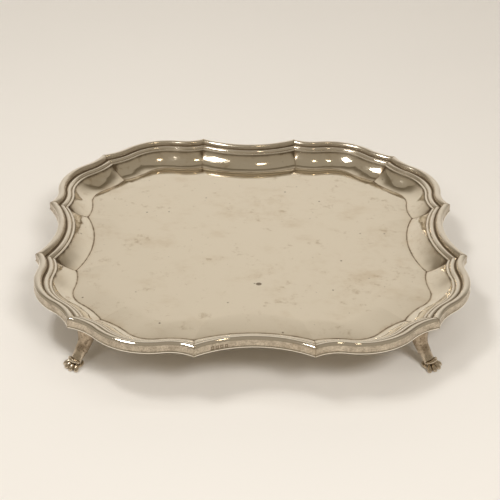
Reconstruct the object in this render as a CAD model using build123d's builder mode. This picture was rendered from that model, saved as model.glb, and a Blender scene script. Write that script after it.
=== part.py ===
"""Square silver salver with a shaped border, on four paw feet.

Frame: the origin is on the ground under the middle of the tray, +Z up, front towards -Y.
The plan is square and mirror-symmetric. Each side has a hollow arc between two side points, and an
S-curved run (ogee) from each side point to the corner point. Everything across the border is given
by its inset, the distance inwards from the outline, and its drop, the depth below the crest.

Pieces: one raised pan, twelve mitred lengths of applied moulding, four cast paw feet.
"""
import os
from math import atan2, cos, degrees, hypot, radians, sin, sqrt

from build123d import *

# ------------------------------------------------------------------ driving dimensions (mm)
SPAN = 305.0                     # across opposite side points
SIDE_POINT = (38.0, SPAN / 2)    # point of the outline beside the middle of the back side
CORNER_POINT = (120.5, 120.5)    # point of the outline on the diagonal
HOLLOW_RISE = 10.7               # how far the hollow arc falls back from its chord
OGEE_HEADING = -33.0             # direction in which the ogee leaves the side point, degrees
OGEE_TURNS = ((58.4, 148.4), (102.2, 132.6))   # where the ogee changes from arc to arc

HEIGHT = 39.5                    # ground to the crest of the lip
SHEET = 0.9                      # thickness of the raised sheet
FLANGE_DROP = 5.3                # drop of the flange's upper face
WELL_DROP = 13.4                 # drop of the plate's upper face
FLANGE_EDGE = 1.5                # inset of the flange's outer edge, inside the skirt
BOWL_TOP = 12.0                  # inset where the bowl leaves the flange
BOWL_FOOT = 25.3                 # inset where the bowl meets the plate
BOWL_SAG = 1.5                   # how hollow the bowl is, below its chord
PLATE_MARGIN = 8.0               # ring of plate made with each length, overlapped by the plate

SKIRT = 1.3                      # thickness of the moulding's outer wall
SKIRT_DROP = 7.2                 # drop of the outer wall's lower edge
LIP_SHOULDER = (0.0, 1.3)        # section points of the moulding as (inset, drop)
LIP_CREST = (2.1, 0.0)
LIP_END = (5.4, 2.4)
CAVETTO_MIDDLE = (5.7, 3.0)
CAVETTO_END = (6.5, 3.3)
BEAD_CREST = (8.2, 2.9)
BEAD_END = (10.0, 4.2)
FILLET_END = (12.0, 4.7)

# Leg sections: distance from the tray's centre along the diagonal, height, lean of the section
# outwards from level (degrees), half width across, half depth along the diagonal.
LEG_SECTIONS = (
    (153.8, 35.8, 0, 12.2, 9.8),
    (154.0, 30.0, 0, 10.4, 8.2),
    (154.4, 25.0, 4, 8.4, 6.6),
    (155.8, 20.0, 12, 6.4, 5.1),
    (157.6, 16.0, 20, 5.2, 4.3),
    (159.6, 12.6, 30, 4.5, 3.9),
    (162.0, 9.4, 42, 4.4, 3.7),
    (164.6, 6.6, 52, 4.8, 3.6),
)
PASTERN = (158.4, 9.6, 2.2)      # small boss behind the ankle: distance, height, radius
PAD = (166.6, 2.2, 6.0, 4.2)     # pad under the paw: distance, height, half length, half width
TOES = (-39.0, -13.0, 13.0, 39.0)      # directions of the toes about the paw's root, degrees
TOE_ROOT = 163.5                 # distance of the paw's root
TOE_REACH = 7.6                  # root to the middle of a toe
TOE_HEIGHT = 2.2                 # height of a toe's middle
TOE_DIP = 14.0                   # how steeply a toe points at the ground, degrees
TOE_HALF = (3.4, 1.9)            # half length and half thickness of a toe

# ------------------------------------------------------------------ worked-out values
FLANGE_TOP = HEIGHT - FLANGE_DROP
PLATE_TOP = HEIGHT - WELL_DROP
HOLLOW_RADIUS = (SIDE_POINT[0] ** 2 + HOLLOW_RISE ** 2) / (2 * HOLLOW_RISE)
HOLLOW_HEADING = degrees(atan2(SIDE_POINT[0], HOLLOW_RADIUS - HOLLOW_RISE))
OVERRUN = 6.0                    # degrees each length is turned past its mitre before trimming
MITRE_INSETS = [3.0 * step for step in range(-1, 13)]   # where the mitre curve is worked out
MITRE_TOLERANCE = 0.001          # lengths of the pan that meet within this are one surface
SIDES = {"back": 0, "left": 90, "front": 180, "right": 270}
FOOT_ANGLES = {"back_right": 45, "back_left": 135, "front_left": 225, "front_right": 315}


# ------------------------------------------------------------------ the outline
class Run:
    """One arc of the outline, followed clockwise in plan (left to right along the back side)."""

    def __init__(self, start, heading, end):
        """Fit the arc that leaves start in the direction heading (degrees) and reaches end."""
        dx, dy = end[0] - start[0], end[1] - start[1]
        normal = (-sin(radians(heading)), cos(radians(heading)))
        signed = (dx * dx + dy * dy) / (2 * (dx * normal[0] + dy * normal[1]))
        self.centre = (start[0] + signed * normal[0], start[1] + signed * normal[1])
        self.radius = abs(signed)
        self.hollow = signed > 0
        self.end_heading = 2 * degrees(atan2(dy, dx)) - heading
        self.first = degrees(atan2(start[1] - self.centre[1], start[0] - self.centre[0]))
        self.turn = self.end_heading - heading
        self.last = self.first + self.turn

    def reach(self, inset):
        """Radius of this arc moved inwards by inset."""
        return self.radius + inset if self.hollow else self.radius - inset

    def point(self, inset, angle):
        """Plan point at an inset and at an angle about the arc's centre."""
        r = self.reach(inset)
        return self.centre[0] + r * cos(radians(angle)), self.centre[1] + r * sin(radians(angle))

    def plane(self, angle):
        """Upright plane at an angle: x is the distance from the arc's centre, y is height."""
        x, y = cos(radians(angle)), sin(radians(angle))
        return Plane(origin=(*self.centre, 0), x_dir=(x, y, 0), z_dir=(y, -x, 0))


def meeting(run_a, run_b, inset):
    """Plan point where two arcs that cross at a point of the outline cross when moved inwards."""
    (ax, ay), (bx, by) = run_a.centre, run_b.centre
    reach = run_a.reach(inset)
    gap = hypot(bx - ax, by - ay)
    along = (reach ** 2 - run_b.reach(inset) ** 2 + gap ** 2) / (2 * gap)
    off = sqrt(reach ** 2 - along ** 2)
    ux, uy = (bx - ax) / gap, (by - ay) / gap
    return ax + along * ux + off * uy, ay + along * uy - off * ux


def mirrored(point):
    """The same point on the other half of the side."""
    return -point[0], point[1]


hollow_run = Run(mirrored(SIDE_POINT), -HOLLOW_HEADING, SIDE_POINT)
ogee_runs = []
place, heading = SIDE_POINT, OGEE_HEADING
for next_place in (*OGEE_TURNS, CORNER_POINT):
    ogee_runs.append(Run(place, heading, next_place))
    place, heading = next_place, ogee_runs[-1].end_heading

side_mitre = [meeting(hollow_run, ogee_runs[0], inset) for inset in MITRE_INSETS]


def corner_mitre(inset):
    """Plan point on the diagonal where the last ogee arc, moved inwards, ends."""
    cx, cy = ogee_runs[2].centre
    off = sqrt((ogee_runs[2].reach(inset) ** 2 - (cx - cy) ** 2 / 2) / 2)
    return (cx + cy) / 2 - off, (cx + cy) / 2 - off


# ------------------------------------------------------------------ profiles and lengths
def moulding_profile(run, angle):
    """Section of the moulding: skirt, lip, cavetto, bead and fillet, lying on the flange."""
    def at(inset, drop):
        return run.reach(inset), HEIGHT - drop

    with BuildSketch(run.plane(angle)) as section:
        with BuildLine():
            Polyline(at(*LIP_SHOULDER), at(0, SKIRT_DROP), at(SKIRT, SKIRT_DROP),
                     at(SKIRT, FLANGE_DROP), at(BOWL_TOP, FLANGE_DROP), at(*FILLET_END),
                     at(*BEAD_END))
            ThreePointArc(at(*BEAD_END), at(*BEAD_CREST), at(*CAVETTO_END))
            ThreePointArc(at(*CAVETTO_END), at(*CAVETTO_MIDDLE), at(*LIP_END))
            ThreePointArc(at(*LIP_END), at(*LIP_CREST), at(*LIP_SHOULDER))
        make_face()
    return section.sketch


def pan_profile(run, angle):
    """Section of the raised sheet: flange, hollow bowl and a margin of the plate."""
    width, fall = BOWL_FOOT - BOWL_TOP, WELL_DROP - FLANGE_DROP
    slant = hypot(width, fall)
    inwards, down = width / slant, fall / slant
    inner = BOWL_FOOT + PLATE_MARGIN

    def at(inset, drop):
        return run.reach(inset), HEIGHT - drop

    def bowl_middle(depth):
        inset = (BOWL_TOP + BOWL_FOOT) / 2 - depth * down
        return at(inset, (FLANGE_DROP + WELL_DROP) / 2 + depth * inwards)

    top, bottom = WELL_DROP, WELL_DROP + SHEET
    bend = BOWL_TOP - SHEET / 2, FLANGE_DROP + SHEET
    with BuildSketch(run.plane(angle)) as section:
        with BuildLine():
            Line(at(FLANGE_EDGE, FLANGE_DROP), at(BOWL_TOP, FLANGE_DROP))
            ThreePointArc(at(BOWL_TOP, FLANGE_DROP), bowl_middle(BOWL_SAG), at(BOWL_FOOT, top))
            Polyline(at(BOWL_FOOT, top), at(inner, top), at(inner, bottom), at(BOWL_FOOT, bottom))
            ThreePointArc(at(BOWL_FOOT, bottom), bowl_middle(BOWL_SAG + SHEET), at(*bend))
            Polyline(at(*bend), at(FLANGE_EDGE, FLANGE_DROP + SHEET), at(FLANGE_EDGE, FLANGE_DROP))
        make_face()
    return section.sketch


def turn_run(run, profile, before=0.0, after=0.0):
    """Turn a profile along a run, overrunning its ends by some degrees."""
    way = 1 if run.turn > 0 else -1
    section = profile(run, run.first - way * before)
    axis = Axis((*run.centre, 0), (0, 0, way))
    revolve(section, axis=axis, revolution_arc=abs(run.turn) + before + after)


def hollow_length(profile):
    """The length in the middle of the back side, trimmed at the two side mitres."""
    with BuildPart() as length:
        turn_run(hollow_run, profile, OVERRUN, OVERRUN)
        with BuildSketch():
            with BuildLine():
                Spline(*side_mitre)
                Line(side_mitre[-1], mirrored(side_mitre[-1]))
                Spline(*[mirrored(point) for point in reversed(side_mitre)])
                Line(mirrored(side_mitre[0]), side_mitre[0])
            make_face()
        extrude(amount=HEIGHT + SHEET, mode=Mode.INTERSECT)
    return length.part


def ogee_length(profile):
    """The S-curved length from the back side's right point to the corner, mitred at both ends."""
    with BuildPart() as length:
        turn_run(ogee_runs[0], profile, before=OVERRUN)
        turn_run(ogee_runs[1], profile)
        turn_run(ogee_runs[2], profile, after=OVERRUN)
        with BuildSketch():
            with BuildLine():
                Spline(*side_mitre)
                Polyline(side_mitre[-1], (side_mitre[-1][0],) * 2, (SPAN, SPAN),
                         (side_mitre[0][0], SPAN), side_mitre[0])
            make_face()
        extrude(amount=HEIGHT + SHEET, mode=Mode.INTERSECT)
    return length.part


def side_wedge(inset):
    """Quarter of the outline moved inwards: the part between the two diagonals at the back."""
    runs = (hollow_run, *ogee_runs)
    stops = (
        hollow_run.point(inset, hollow_run.first + hollow_run.turn / 2),
        meeting(hollow_run, ogee_runs[0], inset),
        ogee_runs[0].point(inset, ogee_runs[0].last),
        ogee_runs[1].point(inset, ogee_runs[1].last),
        corner_mitre(inset),
    )
    with BuildSketch() as wedge:
        with BuildLine():
            Line((0, 0), stops[0])
            for run, start, end in zip(runs, stops, stops[1:]):
                RadiusArc(start, end, -run.reach(inset) if run.hollow else run.reach(inset))
            Line(stops[-1], (0, 0))
        make_face()
        mirror(about=Plane.YZ)
    return wedge.sketch


# ------------------------------------------------------------------ the pan
def make_pan():
    """Raise the sheet: twelve lengths of flange and bowl, joined by the plate."""
    ogee_bowl = ogee_length(pan_profile)
    one_side = (hollow_length(pan_profile), ogee_bowl, ogee_bowl.mirror(Plane.YZ))
    lengths = [bowl.rotate(Axis.Z, angle) for angle in SIDES.values() for bowl in one_side]
    with BuildPart() as plate:
        with BuildSketch(Plane.XY.offset(PLATE_TOP)):
            with PolarLocations(0, 4):
                add(side_wedge(BOWL_FOOT + PLATE_MARGIN / 2))
        extrude(amount=-SHEET)
    return plate.part.fuse(*lengths, tol=MITRE_TOLERANCE).clean()


# ------------------------------------------------------------------ the feet
def ellipsoid(distance, side, height, direction, dip, half):
    """Add a long ellipsoid that points in a plan direction and dips at the ground (degrees)."""
    half_length, half_width = half
    level = cos(radians(dip))
    along = (level * cos(radians(direction)), level * sin(radians(direction)), -sin(radians(dip)))
    across = (-sin(radians(direction)), cos(radians(direction)), 0)
    plane = Plane(origin=(distance, side, height), x_dir=along, z_dir=across)
    with BuildSketch(plane) as outline:
        Ellipse(half_length, half_width)
        Rectangle(2 * half_length, half_width, align=(Align.CENTER, Align.MIN), mode=Mode.INTERSECT)
    revolve(outline.sketch, axis=Axis(plane.origin, along), revolution_arc=360)


def make_foot(pan):
    """Cast a foot under the diagonal along +X: cabriole leg, pad and toes, flat sole."""
    with BuildPart() as foot:
        for distance, height, lean, half_width, half_depth in LEG_SECTIONS:
            travel = (sin(radians(lean)), 0, -cos(radians(lean)))
            with BuildSketch(Plane(origin=(distance, 0, height), x_dir=(0, 1, 0), z_dir=travel)):
                Ellipse(half_width, half_depth)
        loft()
        ellipsoid(PAD[0], 0, PAD[1], 0, 0, PAD[2:])
        ellipsoid(PASTERN[0], 0, PASTERN[1], 0, 45, (PASTERN[2] * 1.4, PASTERN[2]))
        for direction in TOES:
            x, y = cos(radians(direction)), sin(radians(direction))
            ellipsoid(TOE_ROOT + TOE_REACH * x, TOE_REACH * y, TOE_HEIGHT, direction, TOE_DIP,
                      TOE_HALF)
        split(bisect_by=Plane.XY, keep=Keep.TOP)
        add(pan.rotate(Axis.Z, -45), mode=Mode.SUBTRACT)
    return foot.part.solids().sort_by(Axis.Z)[0]


# ------------------------------------------------------------------ make and write every piece
def write(name, solid):
    """Label a finished piece and write it as its own STEP file."""
    with BuildPart() as piece:
        add(solid)
    piece.part.label = name
    export_step(piece.part, f"parts/{name}.step")


os.makedirs("parts", exist_ok=True)

pan = make_pan()
write("pan", pan)

hollow_moulding = hollow_length(moulding_profile)
ogee_moulding = ogee_length(moulding_profile)
ogee_moulding_mirrored = ogee_moulding.mirror(Plane.YZ)
side_names = list(SIDES)
for index, (side, angle) in enumerate(SIDES.items()):
    left_of_it = side_names[(index + 1) % 4]
    right_of_it = side_names[index - 1]
    write(f"moulding_{side}", hollow_moulding.rotate(Axis.Z, angle))
    write(f"moulding_{side}_{right_of_it}", ogee_moulding.rotate(Axis.Z, angle))
    write(f"moulding_{side}_{left_of_it}", ogee_moulding_mirrored.rotate(Axis.Z, angle))

cast_foot = make_foot(pan)
for corner, angle in FOOT_ANGLES.items():
    write(f"foot_{corner}", cast_foot.rotate(Axis.Z, angle))
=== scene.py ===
"""Looks of a square silver salver: shaped, moulded border, hollow bowl, cast paw feet.

Sizes in the classes are millimetres in the part's own frame: the origin on the ground under the
middle of the tray, +Z up, front towards -Y. Meshes are written in metres. Everything across the
border is placed by its inset, the distance inwards from the outline, and its drop below the crest.
"""

from __future__ import annotations

import logging
from collections.abc import Sequence
from dataclasses import dataclass
from enum import Enum

import bmesh
import bpy
import numpy as np
from mathutils import Matrix, Vector


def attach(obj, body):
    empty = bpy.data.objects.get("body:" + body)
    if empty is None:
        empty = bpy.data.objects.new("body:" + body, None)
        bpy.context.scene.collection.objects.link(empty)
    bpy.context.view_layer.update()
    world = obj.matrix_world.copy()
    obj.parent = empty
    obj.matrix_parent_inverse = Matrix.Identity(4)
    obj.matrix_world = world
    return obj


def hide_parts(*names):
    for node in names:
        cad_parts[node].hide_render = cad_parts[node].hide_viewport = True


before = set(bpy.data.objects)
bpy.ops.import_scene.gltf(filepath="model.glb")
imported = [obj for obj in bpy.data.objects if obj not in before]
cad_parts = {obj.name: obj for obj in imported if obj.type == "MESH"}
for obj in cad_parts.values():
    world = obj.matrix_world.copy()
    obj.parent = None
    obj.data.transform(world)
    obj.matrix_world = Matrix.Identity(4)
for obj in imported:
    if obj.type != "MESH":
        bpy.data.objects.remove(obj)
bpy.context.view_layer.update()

LOG = logging.getLogger("salver")
MM = 0.001
Array = np.ndarray
Colour = tuple[float, float, float]


# --------------------------------------------------------------------------- the outline
@dataclass(frozen=True)
class Arc:
    """One arc of the outline, followed clockwise in plan.

    Attributes:
        centre: plan point of the arc's centre, mm.
        radius: radius on the outline, mm.
        hollow: True where the centre lies outside the tray.
        first: angle about the centre where the arc starts, radians.
        turn: signed angle that it turns through, radians.
    """

    centre: tuple[float, float]
    radius: float
    hollow: bool
    first: float
    turn: float

    @staticmethod
    def leaving(start: tuple[float, float], heading: float, end: tuple[float, float]) -> Arc:
        """Fit the arc that leaves a point in a direction and reaches another.

        Args:
            start: plan point where it starts, mm.
            heading: direction in which it leaves, radians.
            end: plan point where it ends, mm.

        Returns:
            The arc: its centre lies on the normal at the start, as far as makes both ends equal.
        """
        step = np.subtract(end, start)
        normal = np.array([-np.sin(heading), np.cos(heading)])
        signed = float(step @ step / (2 * step @ normal))
        centre = np.asarray(start) + signed * normal
        first = float(np.arctan2(start[1] - centre[1], start[0] - centre[0]))
        turn = 2 * float(np.arctan2(step[1], step[0]) - heading)
        return Arc(tuple(centre.tolist()), abs(signed), signed > 0, first, turn)

    def reach(self, inset: Array) -> Array:
        """Radius of the arc moved inwards by an inset."""
        return self.radius + inset if self.hollow else self.radius - inset

    def plan(self, inset: Array, angle: Array) -> tuple[Array, Array]:
        """Plan points at insets and at angles about the centre, as arrays of x and y."""
        reach = self.reach(inset)
        return self.centre[0] + reach * np.cos(angle), self.centre[1] + reach * np.sin(angle)

    def angle_of(self, x: Array, y: Array) -> Array:
        """Angles about the centre of plan points."""
        return np.arctan2(y - self.centre[1], x - self.centre[0])


@dataclass(frozen=True)
class Outline:
    """The tray's plan: on each side a hollow arc, and an ogee of three arcs to each corner.

    Attributes:
        side_point: point of the outline beside the middle of the back side, mm.
        corner_point: point of the outline on the diagonal, mm.
        hollow_rise: how far the hollow arc falls back from its chord, mm.
        ogee_heading: direction in which the ogee leaves the side point, degrees.
        ogee_turns: where the ogee changes from arc to arc, mm.
    """

    side_point: tuple[float, float] = (38.0, 152.5)
    corner_point: tuple[float, float] = (120.5, 120.5)
    hollow_rise: float = 10.7
    ogee_heading: float = -33.0
    ogee_turns: tuple[tuple[float, float], ...] = ((58.4, 148.4), (102.2, 132.6))

    def hollow(self) -> Arc:
        """The arc in the middle of the back side, from the left side point to the right one."""
        half, rise = self.side_point[0], self.hollow_rise
        radius = (half * half + rise * rise) / (2 * rise)
        heading = -float(np.arctan2(half, radius - rise))
        return Arc.leaving((-half, self.side_point[1]), heading, self.side_point)

    def ogee(self) -> list[Arc]:
        """The three tangent arcs from the back side's right point to the corner point."""
        place, heading = self.side_point, float(np.radians(self.ogee_heading))
        arcs = []
        for end in (*self.ogee_turns, self.corner_point):
            arcs.append(Arc.leaving(place, heading, end))
            place, heading = end, heading + arcs[-1].turn
        return arcs

    def side_mitre(self, inset: Array) -> tuple[Array, Array]:
        """Plan points where hollow arc and ogee cross when both are moved inwards.

        Two circles cross on the line square to the line of their centres, at the place along it
        that the difference of their squared radii gives.
        """
        hollow, ogee = self.hollow(), self.ogee()[0]
        link = np.subtract(ogee.centre, hollow.centre)
        gap = float(np.hypot(*link))
        unit = link / gap
        reach = hollow.reach(inset)
        along = (reach**2 - ogee.reach(inset) ** 2 + gap**2) / (2 * gap)
        off = np.sqrt(reach**2 - along**2)
        x = hollow.centre[0] + along * unit[0] + off * unit[1]
        y = hollow.centre[1] + along * unit[1] - off * unit[0]
        return x, y

    def corner_mitre(self, inset: Array) -> tuple[Array, Array]:
        """Plan points on the diagonal where the ogee ends when it is moved inwards."""
        last = self.ogee()[2]
        middle = sum(last.centre) / 2
        half_gap = (last.centre[0] - last.centre[1]) ** 2 / 2
        place = middle - np.sqrt((last.reach(inset) ** 2 - half_gap) / 2)
        return place, place

    def hollow_grid(self, inset: Array, columns: int) -> tuple[Array, Array]:
        """Plan grid over the hollow length: a row for each inset, columns crowded at both mitres.

        Args:
            inset: insets of the rows, mm.
            columns: number of columns from mitre to mitre.

        Returns:
            Arrays of x and y, rows by columns.
        """
        arc = self.hollow()
        end = arc.angle_of(*self.side_mitre(inset))[:, None]
        start = -np.pi - end
        part = (1 - np.cos(np.pi * np.linspace(0, 1, columns))) / 2
        return arc.plan(inset[:, None], start + (end - start) * part)

    def ogee_grid(self, inset: Array, columns: int) -> tuple[Array, Array]:
        """Plan grid over an ogee length, from the side mitre to the corner mitre.

        Args:
            inset: insets of the rows, mm.
            columns: number of columns, shared by the three arcs.

        Returns:
            Arrays of x and y, rows by columns, crowded at both mitres.
        """
        arcs = self.ogee()
        counts = (columns // 3, columns // 3, columns - 2 * (columns // 3))
        places = []
        for index, (arc, count) in enumerate(zip(arcs, counts)):
            start = np.full(len(inset), arc.first)[:, None]
            end = start + arc.turn
            part = np.linspace(0, 1, count, endpoint=index == 2)
            if index == 0:
                start = arc.angle_of(*self.side_mitre(inset))[:, None]
                part = 1 - np.cos(np.pi / 2 * part)
            if index == 2:
                end = arc.angle_of(*self.corner_mitre(inset))[:, None]
                part = np.sin(np.pi / 2 * part)
            start = end + np.angle(np.exp(1j * (start - end)))
            places.append(arc.plan(inset[:, None], start + (end - start) * part))
        return np.hstack([x for x, _ in places]), np.hstack([y for _, y in places])

    def ring(
        self, inset: Array, hollow_columns: int, ogee_columns: int
    ) -> tuple[Array, Array, Array]:
        """Plan grid all the way round, clockwise from the back left corner.

        Each side is a mirrored ogee, a hollow and an ogee; the next side is a quarter turn on.

        Args:
            inset: insets of the rows, mm.
            hollow_columns: columns of each hollow length.
            ogee_columns: columns of each ogee length.

        Returns:
            Arrays of x, y and the distance from the nearest mitre, rows by columns.
        """
        ogee_x, ogee_y = self.ogee_grid(inset, ogee_columns)
        hollow_x, hollow_y = self.hollow_grid(inset, hollow_columns)
        ogee_off, hollow_off = mitre_distance(ogee_x, ogee_y), mitre_distance(hollow_x, hollow_y)
        x = np.hstack([-ogee_x[:, :0:-1], hollow_x[:, :-1], ogee_x[:, :-1]])
        y = np.hstack([ogee_y[:, :0:-1], hollow_y[:, :-1], ogee_y[:, :-1]])
        off = np.hstack([ogee_off[:, :0:-1], hollow_off[:, :-1], ogee_off[:, :-1]])
        sides = [(x, y), (y, -x), (-x, -y), (-y, x)]
        return np.hstack([a for a, _ in sides]), np.hstack([b for _, b in sides]), np.tile(off, 4)

    def corner_inset(self, x: Array, y: Array) -> Array:
        """Insets of plan points near the back right corner: how far each lies inside the arc."""
        last = self.ogee()[2]
        low, high = np.minimum(x, y), np.maximum(x, y)
        return np.hypot(low - last.centre[0], high - last.centre[1]) - last.radius


def mitre_distance(x: Array, y: Array) -> Array:
    """Distance along each row of a length's grid to the nearer of its two ends."""
    step = np.hypot(np.diff(x, axis=1), np.diff(y, axis=1))
    along = np.hstack([np.zeros((len(x), 1)), np.cumsum(step, axis=1)])
    return np.minimum(along, along[:, -1:] - along)


def hand_wave(x: Array, y: Array, length: float) -> Array:
    """Slow unevenness of hand work, between about -1 and 1: crossed sine waves of a length."""
    k = 2 * np.pi / length
    first = np.sin(k * (x + 0.4 * y) + 1.3) * np.sin(k * (0.7 * y - 0.3 * x) + 0.4)
    second = np.sin(k * 1.7 * (y - 0.55 * x) + 2.1) * np.sin(k * 1.3 * (x + 0.2 * y) + 5.0)
    return 0.6 * first + 0.4 * second


def near(distance: Array, width: float) -> Array:
    """Mask that is 1 at a distance of 0 and falls off as a bell over a width."""
    return np.exp(-((distance / width) ** 2))


# --------------------------------------------------------------------------- sections
def bend(start: Sequence[float], middle: Sequence[float], end: Sequence[float], count: int) -> Array:
    """Points on the circle through three section points, the last one left out.

    The centre is where the perpendicular bisectors of the two chords meet; the points step evenly
    in angle.

    Args:
        start: first point, (inset, drop).
        middle: a point between.
        end: last point.
        count: number of points returned.

    Returns:
        Array of count by 2.
    """
    a, b, c = (np.asarray(p, float) for p in (start, middle, end))
    sides = 2 * np.array([b - a, c - a])
    centre = np.linalg.solve(sides, [b @ b - a @ a, c @ c - a @ a])
    radius = np.hypot(*(a - centre))
    angles = np.unwrap([np.arctan2(*(p - centre)[::-1]) for p in (a, b, c)])
    angle = np.linspace(angles[0], angles[2], count, endpoint=False)
    return centre + radius * np.column_stack([np.cos(angle), np.sin(angle)])


def resample(loop: Array, spacing: float) -> Array:
    """Points at even steps along a closed loop of section points."""
    closed = np.vstack([loop, loop[:1]])
    length = np.concatenate([[0], np.cumsum(np.hypot(*np.diff(closed, axis=0).T))])
    steps = np.linspace(0, length[-1], int(length[-1] / spacing), endpoint=False)
    return np.column_stack([np.interp(steps, length, closed[:, k]) for k in (0, 1)])


def smooth_loop(values: Array, passes: int) -> Array:
    """Average each point of a closed loop with its neighbours, a quarter each side, repeatedly."""
    for _ in range(passes):
        values = values / 2 + (np.roll(values, 1, axis=0) + np.roll(values, -1, axis=0)) / 4
    return values


@dataclass(frozen=True)
class BorderSizes:
    """Section sizes shared by the pan and the moulding, mm.

    Attributes:
        height: of the border's crest above the ground.
        sheet: thickness of the pan.
        flange_drop: drop of the flange's upper face.
        well_drop: drop of a plate without its dishing.
        flange_edge: inset of the flange's outer edge.
        bowl_top: inset where the bowl leaves the flange.
        bowl_foot: inset of the crease between bowl and plate.
        bowl_sag: how far the bowl's arc hangs below its chord.
        skirt: inset of the skirt's inner face.
        skirt_drop: drop of the skirt's lower edge.
        margin: width of the plate's dished margin.
        margin_fall: how far the plate falls over that margin, from its middle to the crease.
    """

    height: float = 39.5
    sheet: float = 0.9
    flange_drop: float = 5.3
    well_drop: float = 13.4
    flange_edge: float = 1.5
    bowl_top: float = 12.0
    bowl_foot: float = 25.3
    bowl_sag: float = 1.5
    skirt: float = 1.3
    skirt_drop: float = 7.2
    margin: float = 22.0
    margin_fall: float = 1.3

    def crease_drop(self) -> float:
        """Drop of the crease: the plate is dished, half its margin's fall each side of flat."""
        return self.well_drop + self.margin_fall / 2

    def bowl_middle(self, below: float) -> tuple[float, float]:
        """Section point in the middle of the bowl, a distance below its chord."""
        width, fall = self.bowl_foot - self.bowl_top, self.crease_drop() - self.flange_drop
        slant = np.hypot(width, fall)
        inset = (self.bowl_top + self.bowl_foot) / 2 - below * fall / slant
        return inset, (self.flange_drop + self.crease_drop()) / 2 + below * width / slant

    def underside(self) -> Array:
        """Section points of the pan's underside from the flange to the plate, (inset, drop)."""
        start = (self.bowl_top - self.sheet / 2, self.flange_drop + self.sheet)
        end = (self.bowl_foot, self.crease_drop() + self.sheet)
        curve = bend(start, self.bowl_middle(self.bowl_sag + self.sheet), end, 20)
        return np.vstack([[self.flange_edge, start[1]], curve, end])


# --------------------------------------------------------------------------- mesh building
class Sheet:
    """Collects grids of points into one closed mesh, with a value at each point for its grime and painted
    shade.
    """

    def __init__(self) -> None:
        """Start with no points and no faces."""
        self.points: list[Array] = []
        self.values: list[Array] = []
        self.faces: list[Array | list[list[int]]] = []
        self.count = 0

    def _take(self, points: Array, grime_and_shade: Array) -> Array:
        """Store points and return their numbers in the grid's shape."""
        shape = points.shape[:-1]
        numbers = self.count + np.arange(int(np.prod(shape))).reshape(shape)
        self.points.append(points.reshape(-1, 3))
        self.values.append(np.broadcast_to(grime_and_shade, shape).reshape(-1))
        self.count += numbers.size
        return numbers

    def grid(self, points: Array, grime_and_shade: Array | float, wrap_rows: bool, wrap_columns: bool) -> Array:
        """Add a grid of points joined by four-sided faces.

        Args:
            points: rows by columns by 3, mm.
            grime_and_shade: grime and painted shade at each point, or one value.
            wrap_rows: join the last row to the first.
            wrap_columns: join the last column to the first.

        Returns:
            The points' numbers, rows by columns.
        """
        numbers = self._take(points, np.asarray(grime_and_shade, float))
        here = numbers if wrap_rows else numbers[:-1]
        below = np.roll(numbers, -1, axis=0) if wrap_rows else numbers[1:]
        quads = [here, np.roll(here, -1, axis=1), np.roll(below, -1, axis=1), below]
        quads = [q if wrap_columns else q[:, :-1] for q in quads]
        self.faces.append(np.stack(quads, axis=-1).reshape(-1, 4))
        return numbers

    def fan(self, ring: Array, tip: Sequence[float], grime_and_shade: float) -> None:
        """Close a ring of points with triangles to a tip."""
        number = self._take(np.array([tip], float), np.array([grime_and_shade]))[0]
        self.faces.append(np.column_stack([ring, np.roll(ring, -1), np.full(len(ring), number)]))

    def cap(self, ring: Array) -> None:
        """Close a ring of points with one flat face."""
        self.faces.append([ring.tolist()])

    def mesh(self, name: str) -> bpy.types.Mesh:
        """Write the collected grids as one mesh in metres, faces outwards, crisp edges kept.

        Args:
            name: the mesh's name.

        Returns:
            The mesh, with its grime and painted shade as a point attribute.
        """
        mesh = bpy.data.meshes.new(name)
        faces = [face for group in self.faces for face in np.asarray(group).tolist()]
        mesh.from_pydata((np.vstack(self.points) * MM).tolist(), [], faces)
        grime_and_shade = mesh.attributes.new("grime_and_shade", "FLOAT", "POINT")
        grime_and_shade.data.foreach_set("value", np.concatenate(self.values).astype(np.float32))
        finish_mesh(mesh)
        return mesh


def finish_mesh(mesh: bpy.types.Mesh, crisp: float = 24.0) -> None:
    """Merge doubled points, turn the faces outwards and shade smooth but for crisp edges.

    Args:
        mesh: the mesh, changed in place.
        crisp: edges that turn by more than this many degrees stay sharp.
    """
    work = bmesh.new()
    work.from_mesh(mesh)
    bmesh.ops.remove_doubles(work, verts=work.verts, dist=2e-6)
    bmesh.ops.recalc_face_normals(work, faces=work.faces)
    work.to_mesh(mesh)
    work.free()
    mesh.polygons.foreach_set("use_smooth", np.ones(len(mesh.polygons), bool))
    mesh.set_sharp_from_angle(angle=float(np.radians(crisp)))
    mesh.update()


def stand(name: str, mesh: bpy.types.Mesh, material: bpy.types.Material) -> bpy.types.Object:
    """Put a mesh in the scene as an object at the origin, in one material."""
    piece = bpy.data.objects.new(name, mesh)
    bpy.context.scene.collection.objects.link(piece)
    mesh.materials.clear()
    mesh.materials.append(material)
    LOG.info("%s: %d faces", name, len(mesh.polygons))
    return piece


def take_place(piece: bpy.types.Object, node: str) -> None:
    """Make a piece stand for a node of the frame: hide the node and attach the piece to the root body."""
    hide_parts(node)
    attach(piece, "root")


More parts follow.
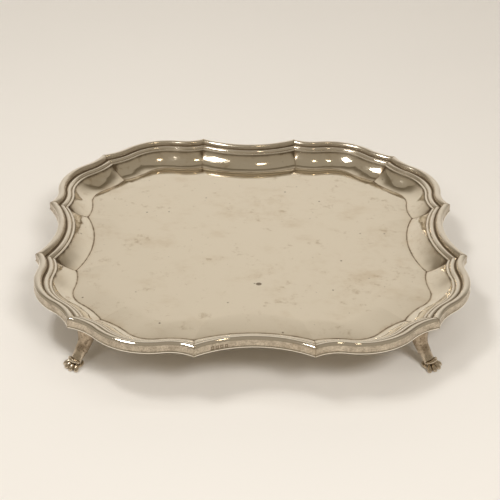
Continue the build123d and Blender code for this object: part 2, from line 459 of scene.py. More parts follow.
# --------------------------------------------------------------------------- shader building
class Shader:
    """Builds one material's node tree."""

    def __init__(self, name: str) -> None:
        """Start an empty node material."""
        self.material = bpy.data.materials.new(name)
        self.material.use_nodes = True
        self.tree = self.material.node_tree
        self.tree.nodes.clear()

    def node(self, kind: str, settings: dict[str, object], inputs: dict[object, object]) -> bpy.types.Node:
        """Add one node.

        Args:
            kind: the node's type.
            settings: its properties, set first; "stops" sets a ramp's stops.
            inputs: value or Term or socket for each input, by name or number.

        Returns:
            The node.
        """
        made = self.tree.nodes.new(kind)
        for key, value in settings.items():
            if key == "stops":
                set_stops(made.color_ramp, value)
            else:
                setattr(made, key, value)
        for key, value in inputs.items():
            source = value.socket if isinstance(value, Term) else value
            if isinstance(source, bpy.types.NodeSocket):
                self.tree.links.new(source, made.inputs[key])
            else:
                made.inputs[key].default_value = source
        return made

    def term(self, kind: str, settings: dict, inputs: dict, output: object = 0) -> Term:
        """Add a node and wrap one of its outputs."""
        return Term(self, self.node(kind, settings, inputs).outputs[output])

    def place(self) -> Term:
        """Object coordinates, metres."""
        return self.term("ShaderNodeTexCoord", {}, {}, "Object")

    def attribute(self, name: str) -> Term:
        """A point attribute's value."""
        return self.term("ShaderNodeAttribute", {"attribute_name": name}, {}, "Fac")

    def noise(self, where: Term, size: float, detail: float = 3.0, rough: float = 0.55) -> Term:
        """Noise between 0 and 1 with features of a size in millimetres."""
        inputs = {"Vector": where, "Scale": 1 / (size * MM), "Detail": detail, "Roughness": rough}
        return self.term("ShaderNodeTexNoise", {}, inputs)

    def turned(self, where: Term, angle: float, stretch: tuple[float, float, float]) -> Term:
        """Coordinates turned about Z by degrees, then scaled on each axis."""
        inputs = {"Vector": where, "Rotation": (0.0, 0.0, float(np.radians(angle))), "Scale": stretch}
        return self.term("ShaderNodeMapping", {}, inputs)

    def blend(self, factor: Term, first: object, second: object, mode: str = "MIX") -> Term:
        """Mix two colours by a factor."""
        settings = {"data_type": "RGBA", "blend_type": mode}
        inputs = {0: factor, 6: opaque(first), 7: opaque(second)}
        return self.term("ShaderNodeMix", settings, inputs, 2)

    def bump(self, height: Term, depth: float, under: Term | None = None) -> Term:
        """Turn a height between 0 and 1 into a normal; depth is in millimetres."""
        inputs = {"Height": height, "Strength": 1.0, "Distance": depth * MM}
        if under is not None:
            inputs["Normal"] = under
        return self.term("ShaderNodeBump", {}, inputs)

    def finish(self, inputs: dict[str, object]) -> bpy.types.Material:
        """Close the tree with one surface shader and return the material."""
        surface = self.node("ShaderNodeBsdfPrincipled", {}, inputs)
        self.node("ShaderNodeOutputMaterial", {}, {"Surface": surface.outputs[0]})
        return self.material


def opaque(colour: object) -> object:
    """Give a three-part colour its alpha; leave anything else as it is."""
    return (*colour, 1.0) if isinstance(colour, tuple) and len(colour) == 3 else colour


def set_stops(ramp: bpy.types.ColorRamp, stops: Sequence[tuple[float, Colour]]) -> None:
    """Set a ramp's stops from places and colours."""
    while len(ramp.elements) < len(stops):
        ramp.elements.new(0.5)
    for element, (place, colour) in zip(ramp.elements, stops):
        element.position = place
        element.color = opaque(colour)


class Term:
    """A socket that can be used in ordinary expressions; each operator adds a Math node."""

    def __init__(self, shader: Shader, socket: bpy.types.NodeSocket) -> None:
        """Wrap a socket of a shader."""
        self.shader = shader
        self.socket = socket

    def math(self, operation: str, *others: object) -> Term:
        """Add a Math node on this and other values."""
        inputs = dict(enumerate((self, *others)))
        return self.shader.term("ShaderNodeMath", {"operation": operation}, inputs)

    def __add__(self, other: object) -> Term:
        """Sum."""
        return self.math("ADD", other)

    __radd__ = __add__

    def __mul__(self, other: object) -> Term:
        """Product."""
        return self.math("MULTIPLY", other)

    __rmul__ = __mul__

    def __sub__(self, other: object) -> Term:
        """Difference."""
        return self.math("SUBTRACT", other)

    def __rsub__(self, other: float) -> Term:
        """Difference from a number."""
        return (self * -1.0).math("ADD", other)

    def __abs__(self) -> Term:
        """Size without sign."""
        return self.math("ABSOLUTE")

    def over(self, other: object) -> Term:
        """The greater of two values."""
        return self.math("MAXIMUM", other)

    def step(self, low: float, high: float) -> Term:
        """Rise smoothly from 0 at low to 1 at high; low may be the greater, to fall instead."""
        settings = {"interpolation_type": "SMOOTHSTEP", "clamp": True}
        if low > high:
            return 1 - self.step(high, low)
        inputs = {"Value": self, "From Min": low, "From Max": high}
        return self.shader.term("ShaderNodeMapRange", settings, inputs)


# --------------------------------------------------------------------------- finishes
class Wear(Enum):
    """How a surface of the salver has been used."""

    CARRIED_ON = "plate: long fine scratches every way, haze, pits"
    # The moulding's dark in its hollows is partly tarnish and partly painted shade.
    HANDLED = "moulding: rubbed bright on its crests, dark in its hollows"
    # The foot's dark between the toes is partly tarnish and partly painted shade.
    CAST = "foot: grained casting, dark between the toes"


@dataclass(frozen=True)
class OldSilver:
    """Worn silver, polished where it is rubbed, tarnished in its hollows and given painted shade there.

    Attributes:
        name: the material's name.
        wear: how the surface has been used.
        silver: colour of the clean metal.
        veil: colour of the thin brown film over it.
        tarnish_and_shade: colour of the dark tarnish in hollows, which also serves as painted shade there.
        roughness: of the clean metal.
        haze: roughness that the film adds.
        veil_amount: how much of the surface the film covers.
        grain: depth of the cast or rubbed grain, mm.
        punches: places along the front of the punch marks in its outer face, mm.
        punch_height: their height above the ground, mm.
        speck_place: plan point of the one larger corroded speck, mm.
        speck_radius: where the speck is solid and where it has faded out, mm.
    """

    name: str
    wear: Wear
    silver: Colour = (0.93, 0.875, 0.775)
    veil: Colour = (0.70, 0.58, 0.42)
    tarnish_and_shade: Colour = (0.13, 0.088, 0.05)
    roughness: float = 0.07
    haze: float = 0.12
    veil_amount: float = 0.35
    grain: float = 0.004
    punches: tuple[float, ...] = (-26.4, -23.5, -20.6, -17.7)
    punch_height: float = 35.0
    speck_place: tuple[float, float] = (4.5, -58.0)
    speck_radius: tuple[float, float] = (1.7, 2.3)

    def scratches(self, shader: Shader, place: Term) -> Term:
        """Fine straight scratches, 1 in a scratch: thin level lines of noise drawn out one way."""
        lines = None
        for angle, spread in ((17.0, 0.55), (68.0, 0.8), (-38.0, 0.65), (101.0, 0.9)):
            drawn = shader.turned(place, angle, (0.02, spread, 1.0))
            line = abs(shader.noise(drawn, 1.6, 1.0) - 0.5).step(0.012, 0.0)
            patch = shader.noise(shader.turned(place, angle, (1.0, 1.0, 1.0)), 24.0, 1.0)
            line = line * patch.step(0.45, 0.62)
            lines = line if lines is None else lines.over(line)
        return lines

    def pits(self, shader: Shader, place: Term, size: float, share: float) -> Term:
        """Scattered round pits, 1 in a pit: the middles of some cells of a cell pattern."""
        inputs = {"Vector": place, "Scale": 1 / (size * MM), "Randomness": 1.0}
        cells = shader.node("ShaderNodeTexVoronoi", {}, inputs)
        distance = Term(shader, cells.outputs["Distance"])
        pick = shader.term("ShaderNodeSeparateColor", {}, {0: cells.outputs["Color"]}, 0)
        return distance.step(0.11, 0.05) * pick.step(share, share - 0.02)

    def speck(self, shader: Shader, place: Term) -> Term:
        """One larger corroded speck in front of the plate's middle, 1 inside it."""
        x, y, _ = self.split(shader, place)
        middle_x, middle_y = self.speck_place
        solid, faded = self.speck_radius
        across, along = x - middle_x * MM, (y - middle_y * MM) * 1.1
        return (across * across + along * along).math("SQRT").step(faded * MM, solid * MM)

    def marks(self, shader: Shader, place: Term) -> Term:
        """A row of four plain punch marks struck in the front's outer face, 1 inside a punch."""
        x, y, z = self.split(shader, place)
        punches = None
        for middle in self.punches:
            off = abs(x - middle * MM).over(abs(z - self.punch_height * MM) * 0.8)
            punch = off.step(0.00120, 0.00095) - off.step(0.00060, 0.00040) * 0.35
            punches = punch if punches is None else punches.over(punch)
        return punches * y.step(-0.136, -0.137)

    @staticmethod
    def split(shader: Shader, place: Term) -> list[Term]:
        """The x, y and z of a place."""
        parts = shader.node("ShaderNodeSeparateXYZ", {}, {0: place})
        return [Term(shader, parts.outputs[axis]) for axis in "XYZ"]

    def material(self) -> bpy.types.Material:
        """Build the finish.

        The film follows two sizes of cloud; the dark colour follows the grime attribute, broken up by
        mottling, and is partly tarnish and partly painted shade; scratches, pits and grain go to the bump
        and the roughness.

        Returns:
            The material.
        """
        shader = Shader(self.name)
        place = shader.place()
        grime_and_shade = shader.attribute("grime_and_shade")
        cloud = shader.noise(place, 55.0, 4.0, 0.6)
        mottle = shader.noise(place, 5.0, 5.0, 0.65)
        fine = shader.noise(place, 0.9, 3.0, 0.6)
        film = (cloud * 0.75 + mottle * 0.35).step(0.72 - 0.4 * self.veil_amount, 0.90)
        film = film * 0.6 + grime_and_shade * 0.9
        uneven = 0.5 if self.wear is Wear.HANDLED else 0.9
        # Dark mask led by the grime value: partly tarnish, partly painted shade in hollows and creases.
        dark = (grime_and_shade + (mottle - 0.5) * uneven + (fine - 0.5) * 0.5).step(0.30, 0.95)
        rough = film * self.haze + self.roughness + (fine - 0.5) * 0.03
        height = fine * 0.25
        if self.wear is Wear.CARRIED_ON:
            lines = self.scratches(shader, place)
            pits = self.pits(shader, place, 9.0, 0.22).over(self.pits(shader, place, 4.0, 0.10))
            cluster = self.pits(shader, place, 1.5, 0.6) * shader.noise(place, 17.0, 2.0).step(0.54, 0.66)
            pits = pits.over(cluster).over(self.speck(shader, place))
            stain = (shader.noise(place, 15.0, 5.0, 0.7) + (mottle - 0.5) * 0.5).step(0.58, 0.82)
            smear = shader.noise(shader.turned(place, 50.0, (0.7, 1.0, 1.0)), 21.0, 4.0, 0.6)
            film = film + stain * 0.70 + smear.step(0.50, 0.78) * 0.45
            dark = dark.over(pits * 0.9).over(stain * 0.20)
            rough = rough + lines * 0.10 + stain * 0.10
            height = height - lines * 0.30 - pits * 1.0
        elif self.wear is Wear.HANDLED:
            pits = self.pits(shader, place, 2.6, 0.35)
            marks = self.marks(shader, place)
            dark = dark.over(pits * 0.6).over(marks * 0.95)
            rough = rough + grime_and_shade * 0.20
            height = height - pits * 0.8 + mottle * 0.35 - marks * 12.0
        else:
            speckle = shader.noise(place, 1.8, 3.0, 0.6).step(0.50, 0.66)
            dark = dark.over(speckle * grime_and_shade.step(0.05, 0.40) * 0.75)
            height = height + mottle * 0.8 - speckle * 0.6
            rough = rough + mottle * 0.06 + grime_and_shade * 0.40
        film = film.math("MINIMUM", 1.0)
        colour = shader.blend(film, self.silver, self.veil)
        # Blend in the dark colour: tarnish, and painted shade where the grime value marks hollows and
        # creases.
        colour = shader.blend(dark * 0.85, colour, self.tarnish_and_shade)
        rough = rough + dark * 0.22
        return shader.finish(
            {
                "Base Color": colour,
                "Metallic": 1.0,
                "Roughness": rough,
                "Normal": shader.bump(height, self.grain),
            }
        )


# --------------------------------------------------------------------------- the pan
@dataclass
class Pan:
    """The raised sheet: flange, hollow bowl with a crease at every mitre, slightly dished plate.

    Attributes:
        outline: the tray's plan.
        sizes: section sizes.
        finish: the finish of the whole sheet.
        hollow_columns: grid columns in each hollow length.
        ogee_columns: grid columns in each ogee length.
        unevenness: how far the plate departs from flat, mm.
        planishing: how far the bowl's hammered surface goes in and out, mm.
    """

    outline: Outline
    sizes: BorderSizes
    finish: OldSilver
    hollow_columns: int = 44
    ogee_columns: int = 69
    unevenness: float = 0.05
    planishing: float = 0.10

    def rows(self, section: Array) -> tuple[Array, Array]:
        """Rows of the border, then of the plate, from outside to near the middle.

        The border's rows are insets of the outline. The plate's rows are its outline shrunk
        towards the middle, by less and less near the crease so that the crease stays crisp.

        Args:
            section: points of the upper or lower face, (inset, drop), from outside inwards.

        Returns:
            Points, rows by columns by 3, and the grime and painted shade at each.
        """
        sizes = self.sizes
        inset, drop = section.T
        x, y, off = self.outline.ring(inset, self.hollow_columns, self.ogee_columns)
        steps = [[0.004, 0.011, 0.022], np.linspace(0.035, 0.19, 11), np.linspace(0.25, 0.96, 12)]
        shrink = 1 - np.concatenate(steps)
        plate_x, plate_y = x[-1] * shrink[:, None], y[-1] * shrink[:, None]
        edge = (1 - shrink[:, None]) * np.hypot(x[-1], y[-1])
        rise = sizes.margin_fall * (1 - np.clip(1 - edge / sizes.margin, 0, 1) ** 1.3)
        wave = self.unevenness * hand_wave(plate_x, plate_y, 105.0) * np.minimum(1, edge / 15)
        flat = drop[-1] - rise + wave
        up_bowl = (inset[:, None] - sizes.bowl_top) / (sizes.bowl_foot - sizes.bowl_top)
        hammered = np.sin(np.pi * np.clip(up_bowl, 0, 1)) * hand_wave(x, y, 21.0)
        fall = drop[:, None] + self.planishing * hammered
        in_bowl = np.clip(up_bowl * 8, 0, 1)
        # Darker under the moulding's fillet at the bowl's top, along the crease and down the mitre
        # creases: partly tarnish, partly painted shade in these folds.
        grime_and_shade = 0.50 * near(inset[:, None] - sizes.bowl_top, 0.8) + 0.30 * near(up_bowl, 0.35)
        grime_and_shade = grime_and_shade + 0.62 * near(inset[:, None] - sizes.bowl_foot, 0.5)
        grime_and_shade = grime_and_shade + in_bowl * (0.45 * near(off, 0.6) + 0.22 * near(off, 3.0))
        grime_and_shade = grime_and_shade + 0.55 * near(off, 2.6) * near(inset[:, None] - sizes.bowl_top - 1.5, 2.2)
        # Dark line on the plate along the crease: partly tarnish, partly a painted reflection of the bowl.
        plate_grime_and_shade = 0.85 * near(edge, 0.9) + 0.20 * near(edge, 3.5)
        x, y = np.vstack([x, plate_x]), np.vstack([y, plate_y])
        z = sizes.height - np.vstack([fall, flat])
        return np.stack([x, y, z], axis=-1), np.vstack([grime_and_shade, plate_grime_and_shade])

    def upper(self) -> Array:
        """Section of the upper face: flange, then the bowl's arc to the crease."""
        sizes = self.sizes
        flange = np.linspace(sizes.flange_edge, sizes.bowl_top, 5)[:-1]
        start = (sizes.bowl_top, sizes.flange_drop)
        end = (sizes.bowl_foot, sizes.crease_drop())
        curve = bend(start, sizes.bowl_middle(sizes.bowl_sag), end, 24)
        tight = curve[-1] + (np.array(end) - curve[-1]) * 0.6
        flange_points = np.column_stack([flange, np.full(len(flange), sizes.flange_drop)])
        return np.vstack([flange_points, curve, tight, end])

    def build(self) -> None:
        """Make the sheet as one closed surface and put it in the pan's place."""
        upper, upper_grime_and_shade = self.rows(self.upper())
        lower, lower_darkening = self.rows(self.sizes.underside())
        # The underside is made at least this dark all over.
        lower_darkening = np.maximum(lower_darkening, 0.30)
        sheet = Sheet()
        points = np.concatenate([lower[::-1], upper])
        numbers = sheet.grid(points, np.vstack([lower_darkening[::-1], upper_grime_and_shade]), False, True)
        centre_wave = self.unevenness * float(hand_wave(np.zeros(1), np.zeros(1), 105.0)[0])
        middle_drop = self.sizes.crease_drop() - self.sizes.margin_fall
        top = self.sizes.height - middle_drop - centre_wave
        sheet.fan(numbers[0], (0, 0, top - self.sizes.sheet), 0.3)
        sheet.fan(numbers[-1], (0, 0, top), 0.0)
        piece = stand("pan_sheet", sheet.mesh("pan_sheet"), self.finish.material())
        take_place(piece, "pan")


# --------------------------------------------------------------------------- the mouldings
class Side(Enum):
    """A side of the tray; the value is how many quarter turns anticlockwise from the back."""

    back = 0
    left = 1
    front = 2
    right = 3


@dataclass
class Moulding:
    """The applied border: twelve mitred lengths of one cast section.

    Attributes:
        outline: the tray's plan.
        sizes: section sizes.
        finish: the finish of every length.
        lip: start, crest and end of the rounded lip, (inset, drop).
        cavetto: middle and end of the hollow inside the lip.
        bead: crest and end of the bead.
        quirk: bottom of the sharp groove inside the bead, and its other side.
        fillet: end of the fillet.
        spacing: distance between section points, mm.
        unevenness: how far the crest wanders up and down, mm.
    """

    outline: Outline
    sizes: BorderSizes
    finish: OldSilver
    lip: tuple[tuple[float, float], ...] = ((0.0, 1.3), (2.1, 0.0), (5.4, 2.4))
    cavetto: tuple[tuple[float, float], ...] = ((5.75, 3.1), (6.5, 3.4))
    bead: tuple[tuple[float, float], ...] = ((8.1, 2.85), (9.8, 4.2))
    quirk: tuple[tuple[float, float], ...] = ((10.2, 4.7), (10.7, 4.35))
    fillet: tuple[float, float] = (12.0, 4.75)
    spacing: float = 0.27
    unevenness: float = 0.06

    def section(self) -> tuple[Array, Array]:
        """The closed section and its grime and painted shade.

        Arcs and straights are sampled evenly and averaged with their neighbours, which rounds
        every edge a little. The section is darkened where it lies below its own running average, and over
        the cavetto and the quirk, partly as tarnish and partly as painted shade, and evenly on the outer
        face, partly as tarnish and partly as painted shade.

        Returns:
            Points (inset, drop) and the grime and painted shade at each.
        """
        sizes = self.sizes
        straights = [
            *self.quirk, self.fillet, (sizes.bowl_top, sizes.flange_drop),
            (sizes.skirt, sizes.flange_drop), (sizes.skirt, sizes.skirt_drop),
            (-0.25, sizes.skirt_drop), (-0.4, sizes.skirt_drop - 0.4),
            (-0.3, sizes.skirt_drop - 0.9), (0.15, sizes.skirt_drop - 1.3),
        ]
        loop = np.vstack(
            [
                bend(*self.lip, 24),
                bend(self.lip[2], *self.cavetto, 24),
                bend(self.cavetto[1], *self.bead, 24),
                [self.bead[1], *straights],
            ]
        )
        loop = smooth_loop(resample(loop, self.spacing), 2)
        along = np.roll(loop, -1, axis=0) - np.roll(loop, 1, axis=0)
        outwards = np.column_stack([along[:, 1], -along[:, 0]])
        outwards /= np.linalg.norm(outwards, axis=1, keepdims=True)
        depth = ((smooth_loop(loop, 45) - loop) * outwards).sum(axis=1)
        seen = (loop[:, 1] < sizes.flange_drop - 0.2) & (loop[:, 0] > 0.4)
        # Darker where the section lies below its running average, and over the cavetto and the quirk:
        # partly tarnish, partly painted shade in these hollows.
        grime_and_shade = np.where(seen, np.clip(depth / 0.24, 0, 1), 0.0)
        in_cavetto = 0.52 * near(loop[:, 0] - 5.2, 1.3)
        in_quirk = 0.35 * near(loop[:, 0] - self.quirk[0][0], 1.0)
        grime_and_shade = np.maximum(smooth_loop(grime_and_shade, 4), np.where(seen, in_cavetto + in_quirk, 0))
        # The outer face is darkened evenly all along: partly tarnish, partly painted shade on that side.
        outer = (loop[:, 0] < 0.5) & (loop[:, 1] > 1.2) & (loop[:, 1] < sizes.skirt_drop - 0.9)
        return loop, np.maximum(grime_and_shade, outer * 0.62)

    def length(
        self, name: str, x: Array, y: Array, loop: Array, grime_and_shade: Array, material: bpy.types.Material
    ) -> None:
        """Make one length from its plan grid.

        Args:
            name: name of the node that it stands for.
            x: plan grid, section points by columns.
            y: the same for y.
            loop: the section's points, (inset, drop).
            grime_and_shade: grime and painted shade of each section point.
            material: the finish shared by all lengths.
        """
        off = mitre_distance(x, y)
        free = np.clip(1 - loop[:, 1] / self.sizes.flange_drop, 0, 1)[:, None]
        wave = self.unevenness * hand_wave(x, y, 34.0) * free
        seam = near(off, 0.30)
        z = self.sizes.height - loop[:, 1:2] + wave - 0.10 * seam * free
        level = np.maximum(grime_and_shade[:, None], 0.55 * seam + 0.25 * near(off, 1.6))
        sheet = Sheet()
        numbers = sheet.grid(np.stack([x, y, z], axis=-1), level, True, False)
        sheet.cap(numbers[:, 0])
        sheet.cap(numbers[:, -1])
        piece = stand(f"{name}_silver", sheet.mesh(name), material)
        take_place(piece, name)

    def build(self) -> None:
        """Make all twelve lengths, turned from the back side to each side."""
        material = self.finish.material()
        loop, grime_and_shade = self.section()
        hollow = self.outline.hollow_grid(loop[:, 0], 56)
        ogee = self.outline.ogee_grid(loop[:, 0], 99)
        names = [side.name for side in Side]
        for side in Side:
            left = names[(side.value + 1) % 4]
            right = names[side.value - 1]
            lengths = {
                f"moulding_{side.name}": hollow,
                f"moulding_{side.name}_{right}": ogee,
                f"moulding_{side.name}_{left}": (-ogee[0], ogee[1]),
            }
            turn = np.exp(1j * np.pi / 2 * side.value)
            for name, (x, y) in lengths.items():
                turned = (x + 1j * y) * turn
                self.length(name, turned.real, turned.imag, loop, grime_and_shade, material)


# --------------------------------------------------------------------------- the feet
def swept(path: Array, across: Array, deep: Array, side: Array, columns: int = 28) -> Array:
    """Closed surface of ellipses carried along a path.

    Each point is the path's point, plus the side direction times the half width times the cosine
    of an angle, plus the direction square to side and path times the half depth times its sine.

    Args:
        path: points of the path, n by 3.
        across: half width at each.
        deep: half depth at each.
        side: direction of the width, of length 1.
        columns: points round each ellipse.

    Returns:
        Points, n by columns by 3.
    """
    tangent = np.gradient(path, axis=0)
    tangent /= np.linalg.norm(tangent, axis=1, keepdims=True)
    depth = np.cross(side, tangent)
    angle = np.linspace(0, 2 * np.pi, columns, endpoint=False)[None, :, None]
    wide = side * across[:, None, None] * np.cos(angle)
    return path[:, None] + wide + depth[:, None] * deep[:, None, None] * np.sin(angle)


def rounded(count: int) -> tuple[Array, Array]:
    """Places from 0 to 1 crowded at both ends, and the half height of a unit circle there."""
    angle = np.linspace(0, np.pi, count)
    return (1 - np.cos(angle)) / 2, np.sin(angle)


@dataclass
class PawFoot:
    """A cast cabriole leg that ends in a paw of four toes under a raised knuckle ridge.

    The foot is worked in its own frame, with +X outwards along the diagonal, then turned.

    Attributes:
        outline: the tray's plan.
        sizes: section sizes, for the underside that the leg is soldered to.
        finish: the finish of all four feet.
        leg: distance from the tray's centre, height, half width, half depth.
        toe_angles: directions of the toes about the paw's root, degrees.
        root: distance of the paw's root from the tray's centre.
        grain: size of the sculpting grid, mm.
    """

    outline: Outline
    sizes: BorderSizes
    finish: OldSilver
    leg: tuple[tuple[float, float, float, float], ...] = (
        (153.8, 36.5, 12.6, 10.2),
        (153.8, 33.0, 11.6, 9.2),
        (154.0, 29.0, 10.0, 7.8),
        (154.4, 25.0, 8.4, 6.6),
        (155.6, 21.0, 6.8, 5.3),
        (156.4, 17.0, 5.7, 4.5),
        (158.0, 13.4, 4.9, 4.1),
        (160.6, 10.4, 4.5, 3.9),
        (162.8, 7.8, 4.1, 3.0),
        (164.8, 5.4, 4.4, 2.8),
        (166.0, 3.6, 4.4, 2.8),
    )
    toe_angles: tuple[float, ...] = (-39.0, -13.0, 13.0, 39.0)
    root: float = 163.5
    grain: float = 0.22

    def leg_surface(self) -> Array:
        """The leg: ellipses carried down a smoothed line through the leg's places."""
        table = np.array(self.leg)
        steps = np.linspace(0, len(table) - 1, 70)
        even = np.column_stack([np.interp(steps, np.arange(len(table)), c) for c in table.T])
        inner = even.copy()
        for _ in range(14):
            inner[1:-1] = inner[1:-1] / 2 + (inner[2:] + inner[:-2]) / 4
        path = np.column_stack([inner[:, 0], np.zeros(len(inner)), inner[:, 1]])
        return swept(path, inner[:, 2], inner[:, 3], np.array([0.0, 1.0, 0.0]), 40)

    def lump(self, centre: Sequence[float], half: Sequence[float], dip: float = 0.0) -> Array:
        """A long rounded lump along X, dipping outwards by degrees; half is length, width, height."""
        along, round_off = rounded(26)
        slope = np.radians(dip)
        reach = (2 * along - 1) * half[0]
        x, z = reach * np.cos(slope), -reach * np.sin(slope)
        path = np.column_stack([x, np.zeros(26), z]) + np.asarray(centre)
        side = np.array([0.0, 1.0, 0.0])
        return swept(path, round_off * half[1], round_off * half[2], side)

    def curved(self, angle: float, reach: Array, height: Array, half: Array) -> Array:
        """A round bar that goes out from the root in a plan direction (degrees), rising or falling."""
        outwards = np.array([np.cos(np.radians(angle)), np.sin(np.radians(angle)), 0.0])
        path = np.array([self.root, 0, 0]) + reach[:, None] * outwards + height[:, None] * [0, 0, 1]
        return swept(path, half, half, np.array([-outwards[1], outwards[0], 0.0]), 20)

    def toe(self, angle: float) -> Array:
        """One blunt toe: a quarter ellipse from the knuckle over and down towards the ground."""
        along, round_off = rounded(34)
        turn = np.pi / 2 * along
        reach, height = 3.6 + 5.4 * np.sin(turn), 0.2 + 2.6 * np.cos(turn)
        return self.curved(angle, reach, height, (1.55 + 0.2 * along) * round_off**0.35)

    def ridge(self) -> Array:
        """The knuckle ridge: a bar bent round the paw's root, standing out over the toes."""
        along, round_off = rounded(44)
        angle = np.radians(-60 + 120 * along)
        droop = 1.0 * (2 * along - 1) ** 2
        path = np.column_stack([self.root + 5.7 * np.cos(angle), 5.7 * np.sin(angle), 5.9 - droop])
        tube = np.sqrt(round_off) * (1.25 - 0.06 * np.cos(8 * np.pi * (along - 0.5)))
        return swept(path, tube, tube, np.array([0.0, 0.0, 1.0]), 20)

    def solid(self) -> bpy.types.Mesh:
        """Melt the leg, pad, ankle, ridge and toes into one casting on a fine grid."""
        sheet = Sheet()
        lumps = [
            self.leg_surface(),
            self.lump((166.0, 0, 1.6), (5.6, 5.2, 2.2)),
            self.lump((161.6, 0, 9.9), (2.2, 2.4, 2.2), 55.0),
            self.lump((158.6, 0, 8.6), (2.6, 2.6, 3.0), 50.0),
            self.ridge(),
            *[self.toe(angle) for angle in self.toe_angles],
        ]
        for lump in lumps:
            numbers = sheet.grid(lump, 0.0, False, True)
            sheet.fan(numbers[0], lump[0].mean(axis=0).tolist(), 0.0)
            sheet.fan(numbers[-1], lump[-1].mean(axis=0).tolist(), 0.0)
        rough = bpy.data.objects.new("casting", sheet.mesh("casting"))
        bpy.context.scene.collection.objects.link(rough)
        remesh = rough.modifiers.new("melt", "REMESH")
        remesh.mode = "VOXEL"
        remesh.voxel_size = self.grain * MM
        even = rough.modifiers.new("even", "SMOOTH")
        even.factor = 0.5
        even.iterations = 3
        melted = rough.evaluated_get(bpy.context.evaluated_depsgraph_get())
        mesh = bpy.data.meshes.new_from_object(melted)
        bpy.data.objects.remove(rough)
        return mesh

    def trimmed(self, points: Array) -> Array:
        """Flatten the sole on the ground and fit the leg's top to the pan's underside, mm.

        A point may not rise above the underside at its own inset; the solder fills a hair more.
        """
        x, y, z = points.T
        diagonal = (x + 1j * y) * np.exp(1j * np.pi / 4)
        inset = self.outline.corner_inset(diagonal.real, diagonal.imag)
        table = self.sizes.underside()
        ceiling = self.sizes.height - np.interp(inset, table[:, 0], table[:, 1]) + 0.25
        return np.column_stack([x, y, np.clip(z, 0.0, ceiling)])

    @staticmethod
    def hollows(mesh: bpy.types.Mesh, points: Array) -> Array:
        """Darkness of each point, partly tarnish and partly painted shade: how far it lies below the
        average of its wider surroundings.
        """
        edges = np.empty(len(mesh.edges) * 2, np.int64)
        mesh.edges.foreach_get("vertices", edges)
        a, b = edges.reshape(-1, 2).T
        degree = np.bincount(np.concatenate([a, b]), minlength=len(points))[:, None]
        normals = np.empty(len(points) * 3)
        mesh.vertices.foreach_get("normal", normals)
        average = points.copy()
        for _ in range(16):
            total = np.zeros_like(average)
            np.add.at(total, a, average[b])
            np.add.at(total, b, average[a])
            average = total / degree
        depth = ((average - points) * normals.reshape(-1, 3)).sum(axis=1)
        return np.clip(depth / 0.12, 0, 1)

    def build(self) -> None:
        """Make the casting once and put it under each corner."""
        material = self.finish.material()
        mesh = self.solid()
        points = np.empty(len(mesh.vertices) * 3)
        mesh.vertices.foreach_get("co", points)
        points = self.trimmed(points.reshape(-1, 3) / MM)
        # Dark in the recesses and between the toes: partly tarnish, partly painted shade.
        grime_and_shade = self.hollows(mesh, points)
        # The leg is made darker from 7 mm up to 13 mm above the ground, and every point a little darker.
        on_leg = np.clip((points[:, 2] - 7) / 6, 0, 1) * 0.38
        grime_and_shade = np.clip(grime_and_shade + on_leg + 0.12, 0, 1)
        corners = {"back_right": 45, "back_left": 135, "front_left": 225, "front_right": 315}
        for corner, angle in corners.items():
            copy = mesh.copy()
            turned = (points[:, 0] + 1j * points[:, 1]) * np.exp(1j * np.radians(angle))
            placed = np.column_stack([turned.real, turned.imag, points[:, 2]]) * MM
            copy.vertices.foreach_set("co", placed.ravel())
            attribute = copy.attributes.new("grime_and_shade", "FLOAT", "POINT")
            attribute.data.foreach_set("value", grime_and_shade.astype(np.float32))
            copy.polygons.foreach_set("use_smooth", np.ones(len(copy.polygons), bool))
            copy.update()
            piece = stand(f"foot_{corner}_casting", copy, material)
            take_place(piece, f"foot_{corner}")
        bpy.data.meshes.remove(mesh)


# --------------------------------------------------------------------------- the studio
@dataclass(frozen=True)
class Softbox:
    """A rectangular lamp.

    Attributes:
        name: the lamp's name.
        place: where its middle hangs, mm.
        aim: the point that it faces, mm.
        size: its width and height, mm.
        brightness: of its face.
        colour: of its light.
        mirrored: False for a lamp that lights the scene but isn't seen in polished metal.
    """

    name: str
    place: tuple[float, float, float]
    aim: tuple[float, float, float]
    size: tuple[float, float]
    brightness: float
    colour: Colour = (1.0, 0.97, 0.92)
    mirrored: bool = True

    def build(self) -> None:
        """Hang the lamp; its power is brightness times pi times its face's area."""
        lamp = bpy.data.lights.new(self.name, "AREA")
        lamp.shape = "RECTANGLE"
        lamp.size, lamp.size_y = self.size[0] * MM, self.size[1] * MM
        lamp.energy = self.brightness * float(np.pi) * lamp.size * lamp.size_y
        lamp.color = self.colour
        hung = bpy.data.objects.new(self.name, lamp)
        look = Vector(self.aim) - Vector(self.place)
        hung.rotation_euler = look.to_track_quat("-Z", "Y").to_euler()
        hung.location = Vector(self.place) * MM
        hung.visible_glossy = self.mirrored
        bpy.context.scene.collection.objects.link(hung)
        LOG.info("lamp %s", self.name)


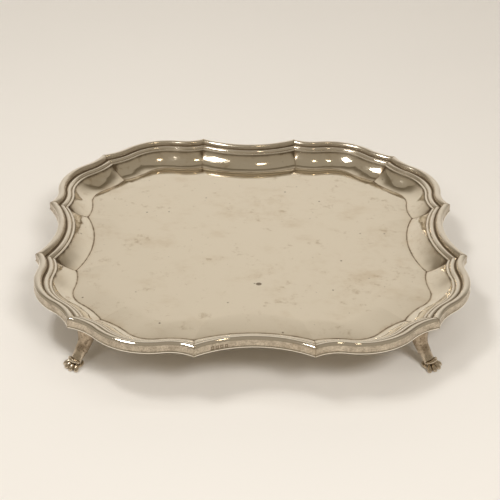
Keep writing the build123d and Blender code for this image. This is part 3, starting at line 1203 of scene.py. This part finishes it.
@dataclass
class Studio:
    """Pale paper cove, softboxes and the camera.

    Attributes:
        paper: colour of the cove.
        painted_wall_shade: painted shade high up on the wall, a darker paper colour standing in for being
            out of the light.
        room: colour of the dim room around it.
        room_brightness: how bright the room is.
        depth: distance from the tray's centre to the wall behind it, mm.
        bend_radius: radius of the cove's bend, mm.
        wall: height of the wall, mm.
        half_width: half the cove's width, mm.
        front: how far the paper runs towards the camera, mm.
        painted_shade_heights: heights on the wall where the painted shade starts and where it is full, mm.
        lamps: the softboxes.
    """

    paper: Colour = (0.90, 0.885, 0.87)
    painted_wall_shade: Colour = (0.42, 0.385, 0.33)
    room: Colour = (1.0, 0.87, 0.68)
    room_brightness: float = 0.31
    depth: float = 1350.0
    bend_radius: float = 550.0
    wall: float = 3000.0
    half_width: float = 2400.0
    front: float = 1000.0
    painted_shade_heights: tuple[float, float] = (350.0, 2600.0)
    lamps: tuple[Softbox, ...] = (
        Softbox("softbox_left", (-420, -40, 1000), (0, 0, 0), (300, 200), 15.5),
        Softbox("softbox_front_right", (430, -860, 1000), (0, 0, 0), (450, 350), 15.0, mirrored=False),
        Softbox("softbox_front_left", (-520, -860, 900), (0, 0, 0), (350, 350), 4.5, mirrored=False),
        Softbox("wall_wash", (0, 450, 1500), (0, 1300, 650), (1600, 300), 3.6, mirrored=False),
        Softbox("warm_lamp", (150, 40, 1000), (0, 0, 0), (70, 50), 12.0, (1.0, 0.84, 0.60)),
    )

    def cove(self) -> None:
        """Floor, bend and wall: one line in section, carried along X."""
        angle = np.linspace(0, np.pi / 2, 24)
        bend_y = self.depth - self.bend_radius + self.bend_radius * np.sin(angle)
        bend_z = self.bend_radius * (1 - np.cos(angle))
        y = np.concatenate([[-self.front], bend_y, [self.depth]])
        z = np.concatenate([[0.0], bend_z, [self.wall]])
        x = np.array([-self.half_width, self.half_width])
        rows = len(y)
        points = np.stack(
            [np.tile(x, (rows, 1)), np.repeat(y[:, None], 2, 1), np.repeat(z[:, None], 2, 1)], axis=-1
        )
        sheet = Sheet()
        sheet.grid(points, 0.0, False, False)
        shader = Shader("cove_paper")
        place = shader.place()
        tone = shader.noise(place, 400.0, 2.0)
        colour = shader.blend(tone, self.paper, tuple(0.97 * c for c in self.paper))
        height = shader.term("ShaderNodeSeparateXYZ", {}, {0: place}, "Z")
        # Painted shade: the paper turns darker up the wall.
        colour = shader.blend(height.step(self.painted_shade_heights[0] * MM, self.painted_shade_heights[1] * MM), colour, self.painted_wall_shade)
        paper = shader.finish({"Base Color": colour, "Roughness": 0.9, "Specular IOR Level": 0.1})
        stand("cove", sheet.mesh("cove"), paper)

    def light(self) -> None:
        """Dim room all round, and the softboxes."""
        world = bpy.data.worlds.new("room")
        world.use_nodes = True
        background = world.node_tree.nodes["Background"]
        background.inputs["Color"].default_value = opaque(self.room)
        background.inputs["Strength"].default_value = self.room_brightness
        bpy.context.scene.world = world
        for lamp in self.lamps:
            lamp.build()

    def camera(self) -> None:
        """Camera in front of the tray, looking down at it at about thirty degrees."""
        forward = Vector((0.01841, 0.86038, -0.50932)).normalized()
        right = forward.cross(Vector((0, 0, 1))).normalized()
        roll = Matrix.Rotation(np.radians(0.86), 3, forward)
        right = roll.inverted() @ right
        up = right.cross(forward)
        lens = bpy.data.cameras.new("camera")
        lens.sensor_width = 36.0
        lens.lens = 84.8
        lens.clip_start, lens.clip_end = 0.05, 20.0
        camera = bpy.data.objects.new("camera", lens)
        place = Vector((-16.8, -751.4, 464.7)) * MM
        axes = Matrix((right, up, -forward)).transposed().to_4x4()
        camera.matrix_world = Matrix.Translation(place) @ axes
        bpy.context.scene.collection.objects.link(camera)
        bpy.context.scene.camera = camera

    def build(self) -> None:
        """Set up the whole studio."""
        self.cove()
        self.light()
        self.camera()
        bpy.context.scene.view_settings.view_transform = "Standard"


def main() -> None:
    """Build the pan, the mouldings, the feet and the studio."""
    logging.basicConfig(level=logging.INFO, format="%(message)s")
    outline, sizes = Outline(), BorderSizes()
    parts = [
        Pan(outline, sizes, OldSilver("plate_silver", Wear.CARRIED_ON, silver=(0.92, 0.855, 0.73))),
        Moulding(outline, sizes, OldSilver("moulding_silver", Wear.HANDLED, grain=0.006)),
        PawFoot(
            outline,
            sizes,
            OldSilver(
                "foot_silver",
                Wear.CAST,
                silver=(0.72, 0.64, 0.52),
                veil=(0.42, 0.29, 0.17),
                roughness=0.15,
                veil_amount=0.6,
                grain=0.03,
            ),
        ),
        Studio(),
    ]
    for part in parts:
        LOG.info("building %s", type(part).__name__)
        part.build()


if __name__ == "__main__":
    main()
